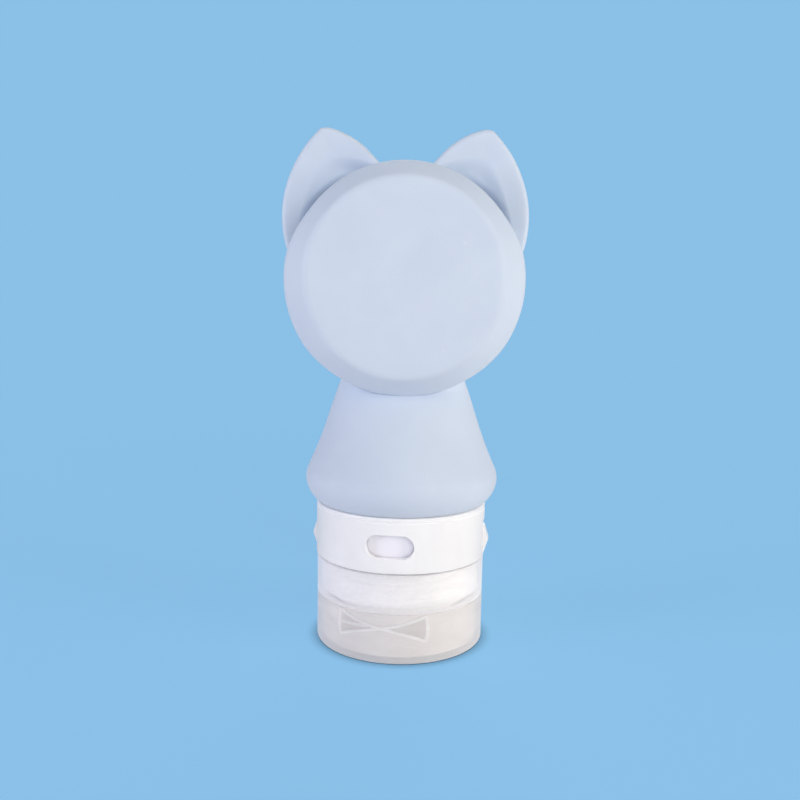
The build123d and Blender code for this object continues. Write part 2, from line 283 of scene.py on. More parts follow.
def add(tree, kind, sockets=None, **fields):
    """New node with its fields set, and each named socket given a value or another node's output."""
    made = tree.nodes.new(kind)
    for name, value in fields.items():
        setattr(made, name, value)
    for name, value in (sockets or {}).items():
        if isinstance(value, bpy.types.NodeSocket):
            tree.links.new(value, made.inputs[name])
        else:
            made.inputs[name].default_value = value
    return made


def maths(tree, operation, first, second=0.0, third=0.0):
    """Output of a maths node."""
    return add(tree, "ShaderNodeMath", {0: first, 1: second, 2: third}, operation=operation).outputs[0]


def mixed(tree, factor, first, second):
    """Output of a colour mix, whose colours are sockets 6 and 7."""
    first, second = (
        value if isinstance(value, bpy.types.NodeSocket) else (*value, 1.0) for value in (first, second)
    )
    return add(tree, "ShaderNodeMix", {0: factor, 6: first, 7: second}, data_type="RGBA").outputs[2]


def remap(tree, value, low, high, out_low=0.0, out_high=1.0):
    """Output of a map range that is clamped and eased at both ends."""
    sockets = {"Value": value, "From Min": low, "From Max": high, "To Min": out_low, "To Max": out_high}
    return add(tree, "ShaderNodeMapRange", sockets, interpolation_type="SMOOTHSTEP").outputs["Result"]


def between(tree, mask, low, high):
    """Value that passes from low to high as a mask rises from 0 to 1."""
    return remap(tree, mask, 0.0, 1.0, low, high)


def noise(tree, vector, scale, detail, roughness=0.5):
    """Output of a noise."""
    sockets = {"Vector": vector, "Scale": scale, "Detail": detail, "Roughness": roughness}
    return add(tree, "ShaderNodeTexNoise", sockets).outputs["Fac"]


def flattened(tree, vector, factor):
    """Coordinates in which a texture is this many times flatter, so that it forms level streaks."""
    return add(tree, "ShaderNodeMapping", {"Vector": vector, "Scale": (1.0, 1.0, factor)}).outputs["Vector"]


def group(name, inputs, outputs):
    """Empty shader node group with sockets of these kinds, what it is given and what it has to fill."""
    tree = bpy.data.node_groups.new(name, "ShaderNodeTree")
    for in_out, sockets in (("INPUT", inputs), ("OUTPUT", outputs)):
        for socket, kind in sockets.items():
            tree.interface.new_socket(name=socket, in_out=in_out, socket_type="NodeSocket" + kind)
    return tree, tree.nodes.new("NodeGroupInput").outputs, tree.nodes.new("NodeGroupOutput").inputs


def placed(tree, name, sockets):
    """Outputs of one of the shared node groups, placed in a material with its own values."""
    return add(tree, "ShaderNodeGroup", sockets, node_tree=bpy.data.node_groups[name]).outputs


# Shared effects

cloud_limits = (0.35, 0.68)  # noise at which clouding leaves its light colour and reaches its deep one
wave_share = 0.06  # scale of the moulded grain's waviness, as a share of the grain's own
scratch_scale, scratch_stretch = 260.0, 14.0  # of the scuffs' noise along and across the scratches
scratch_limits = (0.56, 0.68)  # noise at which a scratch begins to show and shows fully
bow_half_length, bow_half_height, bow_rise = 10.3 * MM, 2.8 * MM, 8.25 * MM  # of the CAD model's bow
bow_curve = 1.32  # power of the length by which the bow's lobes open
bow_line_limits = (0.05 * MM, 0.2 * MM)  # out of the lid's wall, where its raised lines begin and are full


def make_clouding():
    """Clouding: two close colours mixed by a slow noise, as pigment lies unevenly in a moulded wall."""
    tree, given, result = group(
        "Clouding", {"Vector": "Vector", "Scale": "Float", "Light": "Color", "Deep": "Color"},
        {"Color": "Color", "Mask": "Float"},
    )
    slow = noise(tree, given["Vector"], given["Scale"], detail=3.0, roughness=0.55)
    mask = remap(tree, slow, *cloud_limits)
    tree.links.new(mixed(tree, mask, given["Light"], given["Deep"]), result["Color"])
    tree.links.new(mask, result["Mask"])


def make_moulded_grain():
    """Moulded grain: a fine spark-eroded texture on a faint, slower waviness."""
    tree, given, result = group(
        "Moulded grain", {"Vector": "Vector", "Scale": "Float", "Waviness": "Float"}, {"Height": "Float"},
    )
    fine = noise(tree, given["Vector"], given["Scale"], detail=2.0, roughness=0.6)
    slow = noise(tree, given["Vector"], maths(tree, "MULTIPLY", given["Scale"], wave_share), detail=1.0)
    waves = maths(tree, "MULTIPLY", slow, given["Waviness"])
    tree.links.new(maths(tree, "ADD", fine, waves), result["Height"])


def make_lint():
    """Lint: small pale specks, sparse and uneven, that cling to a soft surface."""
    tree, given, result = group(
        "Lint", {"Vector": "Vector", "Scale": "Float", "Size": "Float", "Share": "Float"}, {"Mask": "Float"},
    )
    cells = add(tree, "ShaderNodeTexVoronoi", {"Vector": given["Vector"], "Scale": given["Scale"]}).outputs
    speck = maths(tree, "LESS_THAN", cells["Distance"], given["Size"])
    pick = add(tree, "ShaderNodeSeparateColor", {"Color": cells["Color"]}).outputs[0]
    chosen = maths(tree, "LESS_THAN", pick, given["Share"])
    tree.links.new(maths(tree, "MULTIPLY", speck, chosen), result["Mask"])


def make_scuffs():
    """Scuffs: thin level scratches, as a hard part gets where it is handled.

    They are thickest below the first of two heights, and above the second only their spread is left.
    """
    tree, given, result = group(
        "Scuffs", {"Vector": "Vector", "Low": "Float", "High": "Float", "Spread": "Float"}, {"Mask": "Float"},
    )
    level = flattened(tree, given["Vector"], scratch_stretch)
    thin = remap(tree, noise(tree, level, scratch_scale, detail=4.0, roughness=0.7), *scratch_limits)
    height = add(tree, "ShaderNodeSeparateXYZ", {"Vector": given["Vector"]}).outputs["Z"]
    near = remap(tree, height, given["Low"], given["High"], 1.0, 0.0)
    share = maths(tree, "ADD", near, given["Spread"])
    tree.links.new(maths(tree, "MULTIPLY", thin, share), result["Mask"])


def make_bow_field():
    """Bow field: the raised lines of the lid's bow, opposite its hinge, and the inside of the bow's lobes."""
    tree, given, result = group("Bow field", {"Vector": "Vector"}, {"Line": "Float", "Inside": "Float"})
    lid_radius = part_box("flip_lid")[1].x
    place = add(tree, "ShaderNodeSeparateXYZ", {"Vector": given["Vector"]}).outputs
    level = add(tree, "ShaderNodeVectorMath", {0: given["Vector"], 1: (1.0, 1.0, 0.0)}, operation="MULTIPLY")
    out = add(tree, "ShaderNodeVectorMath", {0: level.outputs[0]}, operation="LENGTH").outputs["Value"]
    line_low, line_high = (lid_radius + limit for limit in bow_line_limits)
    tree.links.new(remap(tree, out, line_low, line_high), result["Line"])
    hinge = joint_of("lid_flip")["pos_m"]
    turn = maths(tree, "ARCTAN2", place["X"], maths(tree, "MULTIPLY", place["Y"], -1.0))
    turn = maths(tree, "ADD", turn, math.atan2(hinge[0], hinge[1]))
    along = maths(tree, "ABSOLUTE", maths(tree, "MULTIPLY", turn, lid_radius / bow_half_length))
    height = maths(tree, "SUBTRACT", place["Z"], bow_rise)
    up = maths(tree, "ABSOLUTE", maths(tree, "DIVIDE", height, bow_half_height))
    lobe = maths(tree, "LESS_THAN", up, maths(tree, "POWER", along, bow_curve))
    tree.links.new(maths(tree, "MULTIPLY", lobe, maths(tree, "LESS_THAN", along, 1.0)), result["Inside"])


# Materials

deep_share = 0.9  # of the tint's light, in the deep part of the clouding of frosted plastic and rubber
lint_tint, lint_shown = (0.78, 0.82, 0.88), 0.2
satin_scuff_share, satin_scuff_shown = 0.8, 0.12  # a scuff's share of the tint, and how much it shows
frosted_scuff_tint, frosted_scuff_shown = (0.9, 0.9, 0.9), 0.2
satin_scuff_rise, frosted_scuff_rise, rubber_cloud_rise = 0.18, 0.2, 0.08  # in roughness
flow_stretch = 4.5  # how much flatter the flow marks of frosted plastic are than plain clouding
flow_cover = 0.1  # how much more frosted plastic covers in the deep part of its flow marks
slant_power = 1.4  # how soon a frosted wall turns opaque as the view of it slants
lamp_hindrance = 0.1  # share of a frosted wall's cover that holds back light from the lamps
bow_line_tint, bow_line_shown = (0.93, 0.93, 0.94), 0.6
bow_lobe_shade_share, bow_lobe_shade_shown = 0.75, 0.6  # painted shade inside the bow's lobes: its share of the tint's light, and how much it shows
bow_cover = 0.65  # cover of the bow's raised lines, where the plastic is thickest


def material(name):
    """New material with nodes: its tree, its Principled shader and the object coordinates."""
    made = bpy.data.materials.new(name)
    made.use_nodes = True
    tree = made.node_tree
    shader = tree.nodes["Principled BSDF"]
    return made, tree, shader, tree.nodes.new("ShaderNodeTexCoord").outputs["Object"]


def set_plain(shader, **values):
    """Values that are the same all over a surface, set on the shader's own sockets."""
    for name, value in values.items():
        shader.inputs[name.replace("_", " ")].default_value = value


def feed(tree, shader, **outputs):
    """Outputs that change over a surface, linked to the shader's sockets."""
    for name, output in outputs.items():
        tree.links.new(output, shader.inputs[name.replace("_", " ")])


def darker(tint, share):
    """Colour with this share of the tint's light."""
    return tuple(share * channel for channel in tint)


def clouded(tree, place, scale, light, deep):
    """Outputs of clouding between a light colour and a deep one."""
    sockets = {"Vector": place, "Scale": scale, "Light": (*light, 1.0), "Deep": (*deep, 1.0)}
    return placed(tree, "Clouding", sockets)


def scuffed(tree, place, low, high, spread):
    """Mask of scuffs."""
    return placed(tree, "Scuffs", {"Vector": place, "Low": low, "High": high, "Spread": spread})["Mask"]


def grained(tree, place, scale, waviness, height):
    """Normal of a surface with a moulded grain of this height."""
    grain = placed(tree, "Moulded grain", {"Vector": place, "Scale": scale, "Waviness": waviness})
    return add(tree, "ShaderNodeBump", {"Height": grain["Height"], "Distance": height}).outputs["Normal"]


def silicone_material(colours):
    """Soft matt silicone: clouded light blue with a fine grain, a gentle sheen and a few clinging specks."""
    made, tree, shader, place = material("soft_silicone")
    cloud = clouded(tree, place, scale=55.0, light=colours.silicone, deep=colours.silicone_shade)
    lint = placed(tree, "Lint", {"Vector": place, "Scale": 240.0, "Size": 0.1, "Share": 0.06})["Mask"]
    feed(
        tree, shader,
        Base_Color=mixed(tree, maths(tree, "MULTIPLY", lint, lint_shown), cloud["Color"], lint_tint),
        Roughness=between(tree, cloud["Mask"], low=0.56, high=0.64),
        Normal=grained(tree, place, scale=3200.0, waviness=0.8, height=0.03 * MM),
    )
    set_plain(
        shader, Subsurface_Weight=0.18, Subsurface_Scale=1.5 * MM, Subsurface_Radius=(0.8, 0.9, 1.0),
        Sheen_Weight=0.24, Sheen_Roughness=0.4, IOR=1.41,
    )
    return made


def satin_material(name, tint, roughness, cloud_share):
    """Satin moulded plastic: nearly plain, with flow clouding, an orange-peel surface and light scuffs."""
    made, tree, shader, place = material(name)
    cloud = clouded(tree, place, scale=90.0, light=tint, deep=darker(tint, cloud_share))
    scuffs = scuffed(tree, place, low=20.8 * MM, high=22.2 * MM, spread=0.25)
    worn = maths(tree, "MULTIPLY", scuffs, satin_scuff_shown)
    feed(
        tree, shader,
        Base_Color=mixed(tree, worn, cloud["Color"], darker(tint, satin_scuff_share)),
        Roughness=between(tree, scuffs, roughness, roughness + satin_scuff_rise),
        Normal=grained(tree, place, scale=1800.0, waviness=1.2, height=0.012 * MM),
    )
    set_plain(
        shader, Subsurface_Weight=0.3, Subsurface_Scale=0.8 * MM, Subsurface_Radius=(1.0, 1.0, 1.0),
        Sheen_Weight=0.6, Sheen_Roughness=0.5, IOR=1.49,
    )
    return made


def frosted_material(name, tint, cover, roughness):
    """Frosted polypropylene: milky, partly see-through, with level flow marks, scuffs near its foot and
    painted shade inside the bow's lobes.

    The wall covers more where it is seen at a slant, as more plastic lies in the line of sight. Lamps reach
    through it almost unhindered, as frosted plastic scatters most light forwards.
    """
    made, tree, shader, place = material(name)
    flow = flattened(tree, place, flow_stretch)
    cloud = clouded(tree, flow, scale=110.0, light=tint, deep=darker(tint, deep_share))
    scuffs = scuffed(tree, place, low=0.2 * MM, high=1.6 * MM, spread=0.2)
    bow = placed(tree, "Bow field", {"Vector": place})

    worn = maths(tree, "MULTIPLY", scuffs, frosted_scuff_shown)
    plain = mixed(tree, worn, cloud["Color"], frosted_scuff_tint)
    # Painted shade: the inside of the bow's lobes is darkened, standing in for shade as in a recess
    lobe_shade_mask = maths(tree, "MULTIPLY", bow["Inside"], bow_lobe_shade_shown)
    shaded = mixed(tree, lobe_shade_mask, plain, darker(tint, bow_lobe_shade_share))
    lined = maths(tree, "MULTIPLY", bow["Line"], bow_line_shown)

    facing_cover = between(tree, cloud["Mask"], cover, cover + flow_cover)
    slant = add(tree, "ShaderNodeLayerWeight", {"Blend": 0.5}).outputs["Facing"]
    slant_cover = maths(tree, "POWER", slant, slant_power)
    clear_share = maths(tree, "SUBTRACT", 1.0, facing_cover)
    seen_cover = maths(tree, "MULTIPLY_ADD", clear_share, slant_cover, facing_cover)
    line_cover = maths(tree, "MULTIPLY", bow["Line"], bow_cover)
    lamp_ray = add(tree, "ShaderNodeLightPath").outputs["Is Shadow Ray"]
    hindrance = maths(tree, "MULTIPLY_ADD", lamp_ray, lamp_hindrance - 1.0, 1.0)
    feed(
        tree, shader,
        Base_Color=mixed(tree, lined, shaded, bow_line_tint),
        Roughness=between(tree, scuffs, roughness, roughness + frosted_scuff_rise),
        Alpha=maths(tree, "MULTIPLY", maths(tree, "MAXIMUM", seen_cover, line_cover), hindrance),
        Normal=grained(tree, place, scale=2200.0, waviness=1.0, height=0.01 * MM),
    )
    set_plain(shader, IOR=1.4)
    return made


def rubber_material(name, tint, roughness):
    """Soft rubber of a seal: matt, slightly clouded, with a fine grain."""
    made, tree, shader, place = material(name)
    cloud = clouded(tree, place, scale=150.0, light=tint, deep=darker(tint, deep_share))
    feed(
        tree, shader,
        Base_Color=cloud["Color"],
        Roughness=between(tree, cloud["Mask"], roughness, roughness + rubber_cloud_rise),
        Normal=grained(tree, place, scale=2600.0, waviness=0.5, height=0.02 * MM),
    )
    set_plain(shader, Subsurface_Weight=0.2, Subsurface_Scale=0.8 * MM, Sheen_Weight=0.1)
    return made


def dress(node, surface):
    """Gives a CAD node's material slots a finished material."""
    for slot in frame["nodes"][node].material_slots:
        slot.material = surface


# Silicone bottle

seam_gap = 0.06 * MM  # between the skirt and the collar that turns below it
neck_inset = 1.3 * MM  # from the label band's outside in to the silicone neck
bore_overrun = 1.0 * MM  # how far the hollow is cut out past the neck's open end
skirt_steps, shoulder_spacing = 28, 1.0 * MM
flat_margin = 0.01 * MM  # how near to a flat face of the head a point counts as on it

# Places on the head, up or down from its middle, as shares of its radius
cone_end_share, waist_share = 0.65, 0.93
settle_limits, lift_limits, ear_settle_limits = (0.15, 0.65), (0.5, 1.0), (0.2, 1.0)

# How the cone's side draws in, by its share of the way up from the skirt to the waist
hollow_skew, hollow_power = 0.8, 1.5  # lower the hollow's deepest place a little, and ease its ends
draw_start, pinch_power = 0.1, 12


class BodyForm:
    """Heights and outlines of the bottle, worked out from its sizes and the frame's collar."""

    def __init__(self, sizes):
        self.sizes = sizes
        neck_low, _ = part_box("bottle_body")
        _, collar_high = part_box("window_collar")
        _, sleeve_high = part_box("label_band")
        self.neck_bottom = neck_low.z
        self.shoulder = collar_high.z + seam_gap
        self.neck_radius = sleeve_high.y - neck_inset
        self.skirt_height = collar_high.z + sizes.skirt_rise
        self.head_height = self.skirt_height + sizes.head_rise
        self.cone_top = self.head_height - cone_end_share * sizes.head_radius

    def head_distance(self, x, y, z):
        """Distance outside the chamfered drum: the most of those from its wall, its chamfer and its faces."""
        sizes = self.sizes
        out = np.hypot(x, z - self.head_height) - sizes.head_radius
        along = np.abs(y) - sizes.head_depth / 2
        across, deep = sizes.head_chamfer, sizes.head_chamfer_depth
        chamfer = (out * deep + (along + deep) * across) / math.hypot(across, deep)
        return np.maximum(np.maximum(out, along), chamfer)

    def drum(self, name, inset, steps, spacing):
        """Drum: a chamfered outline with softened corners and crowned ends, turned about a level axis.

        Towards top and bottom the wall is drawn in while the flat faces stay round.
        """
        sizes = self.sizes
        radius, half = sizes.head_radius - inset, sizes.head_depth / 2 - inset
        drawn_in = inset * (2 - math.sqrt(2))
        chamfer, chamfer_depth = sizes.head_chamfer - drawn_in, sizes.head_chamfer_depth - drawn_in
        outline = softened([
            (0.0, -half), (radius - chamfer, -half), (radius, chamfer_depth - half),
            (radius, half - chamfer_depth), (radius - chamfer, half), (0.0, half),
        ], sizes.head_edge_round, spacing)
        out, along = outline[:, 0], outline[:, 1]
        flat = np.abs(along) > half - flat_margin
        crown = sizes.head_crown * np.where(flat, 1 - smoothstep(0.0, radius - chamfer, out), 0.0)
        along = along + np.sign(along) * crown
        turn = np.linspace(math.tau, 0.0, steps, endpoint=False)
        rise = np.sin(turn)
        drawn = sizes.head_settle * smoothstep(*settle_limits, rise)
        drawn = drawn + sizes.head_lift * smoothstep(*lift_limits, -rise)
        share = np.clip((out[1:-1, None] - radius + chamfer) / chamfer, 0.0, 1.0)
        reach = out[1:-1, None] - drawn * share
        level = np.broadcast_to(along[1:-1, None], reach.shape)
        rings = np.stack((reach * np.cos(turn), level, self.head_height + reach * rise), axis=-1)
        start, end = ((0.0, along[row], self.head_height) for row in (0, -1))
        return ringed_object(name, rings, start, end)

    def cone(self, name, inset, stem_radius, bottom, floor, steps, spacing):
        """Cone: a stem, a rounded skirt and a side, turned about Z.

        The side draws in half way up and, at front and back, towards the waist. It flares near the head.
        """
        sizes = self.sizes
        arc_radius = sizes.skirt_round - inset
        centre = (sizes.skirt_radius - sizes.skirt_round, self.skirt_height)
        low = -math.asin((self.skirt_height - floor) / arc_radius)
        skirt = arc(centre, arc_radius, low, sizes.cone_angle, skirt_steps)
        tangent = Vector(skirt[-1])
        top_radius = tangent.x - (self.cone_top - tangent.y) * math.tan(sizes.cone_angle)
        top = Vector((top_radius, self.cone_top))
        outline = np.concatenate((
            [(stem_radius, bottom)], spaced((stem_radius, floor), skirt[0], shoulder_spacing),
            skirt, spaced(tangent, top, spacing)[1:], [tuple(top)],
        ))
        turn = np.linspace(0.0, math.tau, steps, endpoint=False)
        out, height = outline[:, :1], np.broadcast_to(outline[:, 1:], (len(outline), steps))
        waist = self.head_height - waist_share * sizes.head_radius
        share = np.clip((height - self.skirt_height) / (waist - self.skirt_height), 0.0, 1.0)
        out = out - sizes.cone_hollow * np.sin(math.pi * share ** hollow_skew) ** hollow_power
        drawn = sizes.waist_draw * smoothstep(draw_start, 1.0, share)
        drawn = drawn + sizes.waist_pinch * share ** pinch_power
        out = out - drawn * np.sin(turn) ** 2
        distance = self.head_distance(out * np.cos(turn), out * np.sin(turn), height)
        near = np.clip(1 - distance / sizes.waist_reach, 0.0, 1.0)
        out = out + sizes.waist_flare * near * near
        rings = np.stack((out * np.cos(turn), out * np.sin(turn), height), axis=-1)
        return ringed_object(name, rings, (0.0, 0.0, bottom), (0.0, 0.0, self.cone_top))


# Ear outline and bowl corners, as shares of the head's radius: across and up from the head's middle
ear_outer_foot = (0.953, 0.109)
ear_low = (1.037, 0.275)
ear_outer = (0.999, 0.950)
ear_tip = (0.740, 1.327)
ear_crown = (0.680, 1.332)
ear_inner = (0.480, 1.258)
ear_heel = (0.299, 1.114)
ear_inner_foot = (0.142, 0.948)
ear_root = (0.590, 0.572)
bowl_corners = ((0.915, 0.400), (0.862, 0.790), (0.780, 1.015), (0.690, 1.118), (0.300, 0.995))

ear_direction = math.radians(44.0)  # from the head's middle through the ear, up from level
ear_full_share = 0.76  # how far out the ear still has its full depth, as a share of the head's radius
ear_spacing, ear_outer_steps, ear_inner_steps = 0.1 * MM, 300, 160
front_rows, side_rows, back_rows = 64, 5, 26
bowl_blend = 1.6 * MM  # how far the bowl's corners are rounded
bowl_step_shares = (-0.35, 0.65)  # of the step's width, from outside the bowl's outline to inside it
bowl_reach, bowl_loss = (-2.0 * MM, 10.0 * MM), 0.85  # beyond the head's wall, and the depth's share lost
pocket_start, pocket_end = (24.0, 32.0), (48.0, 66.0)  # degrees up round the head
pocket_reach = (1.0 * MM, 3.0 * MM)  # beyond the head's wall


def ear_outline(radius, steps):
    """Right ear's outline from its outer foot over the tip to its inner foot, dense and in equal steps."""
    def at(share):
        return (share[0] * radius, share[1] * radius)

    low, tip, crown, heel = (at(share) for share in (ear_low, ear_tip, ear_crown, ear_heel))
    dense = np.concatenate((
        spaced(at(ear_outer_foot), low, ear_spacing),
        arc_through(low, at(ear_outer), tip, ear_outer_steps)[:-1],
        spaced(tip, crown, ear_spacing),
        arc_through(crown, at(ear_inner), heel, ear_inner_steps)[:-1],
        spaced(heel, at(ear_inner_foot), ear_spacing),
    ))
    along = np.concatenate(([0.0], np.cumsum(np.hypot(*np.diff(dense, axis=0).T))))
    even = np.linspace(0.0, along[-1], steps)
    return dense, np.stack([np.interp(even, along, dense[:, axis]) for axis in (0, 1)], axis=-1)


def depth_inside(points, corners, blend):
    """How far points lie inside a convex outline: the smooth least of the distances to its sides."""
    corners = np.array(corners)
    start, side = corners[:-1], np.diff(corners, axis=0)
    inward = np.stack((-side[:, 1], side[:, 0]), axis=-1) / np.hypot(*side.T)[:, None]
    distances = np.einsum("...ik,ik->...i", points[..., None, :] - start, inward)
    return -blend * np.log(np.exp(-distances / blend).sum(axis=-1))


def ear_rows(sizes, head_radius, steps):
    """Right ear as rows of points, from the root's front over the outline to the root's back.

    Rays from the root to the outline carry a front with rim, sloping band and bowl, a side and a back.
    """
    dense, outline = ear_outline(head_radius, steps)
    root = head_radius * np.array(ear_root)
    out_front = np.sin(np.linspace(0.0, math.pi / 2, front_rows))
    out_back = np.sin(np.linspace(math.pi / 2, 0.0, back_rows))
    shares = np.concatenate((out_front, np.ones(side_rows), out_back))
    flat = root + shares[:, None, None] * (outline - root)
    apart = np.hypot(flat[:, :, None, 0] - dense[:, 0], flat[:, :, None, 1] - dense[:, 1]).min(axis=-1)
    apart[shares == 1.0] = 0.0

    def edge(radius):
        """How far an edge of this radius rounds the surface off."""
        short = np.clip(radius - apart, 0.0, radius)
        return radius - np.sqrt(radius * radius - short * short)

    bowl = depth_inside(flat, [(head_radius * x, head_radius * z) for x, z in bowl_corners], bowl_blend)
    beyond = np.hypot(flat[..., 0], flat[..., 1]) - head_radius
    level = np.degrees(np.arctan2(flat[..., 1], flat[..., 0]))
    pocket = smoothstep(*pocket_start, level) * (1 - smoothstep(*pocket_end, level))
    bowl_depth = sizes.bowl_depth * (1 - bowl_loss * np.sqrt(smoothstep(*bowl_reach, beyond)))
    bowl_depth = bowl_depth + sizes.pocket_depth * pocket * (1 - smoothstep(*pocket_reach, beyond))
    step_low, step_high = (share * sizes.bowl_edge for share in bowl_step_shares)
    front = sizes.front + edge(sizes.rim_round)
    front = front + sizes.band_sink * smoothstep(sizes.rim_round, sizes.band_width, apart)
    front = front + bowl_depth * smoothstep(step_low, step_high, bowl)
    middle = np.array((math.cos(ear_direction), math.sin(ear_direction)))
    lean = math.tan(sizes.lean) * (flat @ middle - ear_full_share * head_radius)
    back = sizes.front + sizes.depth - lean - edge(sizes.back_round)
    y = np.where(np.arange(len(shares))[:, None] < front_rows, front, back)
    side = np.linspace(0.0, 1.0, side_rows + 2)[1:-1, None]
    rim, back_edge = front[front_rows - 1], back[front_rows + side_rows]
    y[front_rows:front_rows + side_rows] = rim + side * (back_edge - rim)
    return np.stack((flat[..., 0], y, flat[..., 1]), axis=-1)


def ear_object(name, rows, side):
    """Closed ear from its rows: the first and the last row are one point each, and each end is one face."""
    count, columns, _ = rows.shape
    rows = rows * np.array((side, 1.0, 1.0))
    inner = rows[1:-1].reshape(-1, 3)
    points = np.concatenate((inner, rows[:1, 0], rows[-1:, 0]))
    front, back = len(inner), len(inner) + 1
    here = np.arange(columns - 1)
    last = (count - 3) * columns
    front_fan = np.stack((np.full(columns - 1, front), here + 1, here), axis=-1)
    back_fan = np.stack((np.full(columns - 1, back), last + here, last + here + 1), axis=-1)
    first_end = [front, *range(0, last + 1, columns), back]
    last_end = [back, *range(last + columns - 1, -1, -columns), front]
    faces = grid_quads(count - 2, columns, False).tolist() + front_fan.tolist() + back_fan.tolist()
    faces += [first_end, last_end]
    if side > 0:
        faces = [face[::-1] for face in faces]
    return mesh_object(name, points, faces)


class TRAVELBOTTLE_OT_silicone_body(bpy.types.Operator):
    """Hollow silicone bottle: cone with a rounded skirt, drum-shaped head and two cupped ears"""

    bl_idname = "travelbottle.silicone_body"
    bl_label = "Silicone body"

    def execute(self, context):
        sizes, ears = settings("bottle_sizes"), settings("bottle_ears")
        form = BodyForm(sizes)
        body = form.cone(
            "silicone_bottle", inset=0.0, stem_radius=form.neck_radius, bottom=form.neck_bottom,
            floor=form.shoulder, steps=260, spacing=0.7 * MM,
        )
        combine(body, form.drum("outer_drum", inset=0.0, steps=340, spacing=1.0 * MM), "UNION")
        rows = ear_rows(ears, sizes.head_radius, steps=150)
        settled = smoothstep(*ear_settle_limits, rows[..., 2] / sizes.head_radius)
        rows[..., 2] += form.head_height - ears.settle * settled
        for side in (-1.0, 1.0):
            combine(body, ear_object("ear", rows, side), "UNION")
        inner_cone = form.cone(
            "inner_cone", inset=sizes.wall, stem_radius=form.neck_radius - sizes.wall,
            bottom=form.neck_bottom - bore_overrun, floor=form.shoulder + sizes.wall,
            steps=120, spacing=2.0 * MM,
        )
        combine(body, inner_cone, "DIFFERENCE")
        combine(body, form.drum("inner_drum", inset=sizes.wall, steps=120, spacing=3.0 * MM), "DIFFERENCE")
        if not body.data.polygons:
            raise RuntimeError("the silicone bottle's solids could not be combined")
        shade(body, degrees=38.0)
        body.data.materials.clear()
        body.data.materials.append(silicone_material(settings("bottle_colours")))
        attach(body, "bottle")
        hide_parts("bottle_body")
        return {"FINISHED"}


# Cap

film_rows, film_columns = 25, 17


def film_grid(sizes, pivot, axis, outward):
    """Film: a flat loop, thinnest at the hinge line, carried along that line, with both ends closed."""
    height = np.linspace(sizes.reach, -sizes.reach, film_rows)
    half = sizes.waist / 2 + (sizes.thickness - sizes.waist) / 2 * (height / sizes.reach) ** 2
    loop_height = np.concatenate((height, height[::-1]))
    loop_out = np.concatenate((half, -half[::-1]))
    across = np.linspace(-sizes.width / 2, sizes.width / 2, film_columns)
    points = (
        np.array(pivot) + across[:, None, None] * np.array(axis) + loop_out[:, None] * np.array(outward)
        + loop_height[:, None] * np.array((0.0, 0.0, 1.0))
    )
    count = len(loop_height)
    quads = grid_quads(film_columns, count, True).tolist()
    last = (film_columns - 1) * count
    near_end = [[row, count - 1 - row, count - 2 - row, row + 1] for row in range(film_rows - 1)]
    far_end = [[last + corner for corner in face[::-1]] for face in near_end]
    return points.reshape(-1, 3), [face[::-1] for face in quads + near_end + far_end]


class TRAVELBOTTLE_OT_hinge_film(bpy.types.Operator):
    """Thin film of the living hinge between the cap base and the flip lid"""

    bl_idname = "travelbottle.hinge_film"
    bl_label = "Hinge film"

    def execute(self, context):
        sizes = settings("bottle_film")
        hinge = joint_of("lid_flip")
        pivot, axis = Vector(hinge["pos_m"]), Vector(hinge["axis"]).normalized()
        outward = Vector((pivot.x, pivot.y, 0.0)).normalized()
        film = mesh_object("hinge_film", *film_grid(sizes, pivot, axis, outward))
        shade(film, degrees=50.0)
        film.data.materials.append(bpy.data.materials["frosted_cap"])
        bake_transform(film)
        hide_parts("hinge_web")
        return {"FINISHED"}


class TRAVELBOTTLE_OT_cap_parts(bpy.types.Operator):
    """Frosted plastic of the cap base and the flip lid"""

    bl_idname = "travelbottle.cap_parts"
    bl_label = "Cap parts"

    def execute(self, context):
        colours = settings("bottle_colours")
        dress("cap_base", frosted_material("frosted_cap", colours.frosted, cover=0.3, roughness=0.3))
        dress("flip_lid", frosted_material("frosted_lid", colours.lid, cover=0.6, roughness=0.34))
        return {"FINISHED"}


class TRAVELBOTTLE_OT_white_parts(bpy.types.Operator):
    """Satin plastic of the mouthpiece, the collar, the retainer and the band in the window"""

    bl_idname = "travelbottle.white_parts"
    bl_label = "White parts"

    def execute(self, context):
        colours = settings("bottle_colours")
        white = satin_material("satin_white", colours.white, roughness=0.38, cloud_share=0.96)
        for node in ("neck_fitment", "window_collar", "valve_retainer"):
            dress(node, white)
        dress("label_band", satin_material("lavender_band", colours.band, roughness=0.45, cloud_share=0.97))
        return {"FINISHED"}


class TRAVELBOTTLE_OT_seals(bpy.types.Operator):
    """Rubber of the sealing ring and the slit valve"""

    bl_idname = "travelbottle.seals"
    bl_label = "Seals"

    def execute(self, context):
        colours = settings("bottle_colours")
        dress("seal_ring", rubber_material("white_gasket", colours.gasket, roughness=0.6))
        dress("drip_valve", rubber_material("milky_valve", colours.valve, roughness=0.45))
        return {"FINISHED"}


# Stage

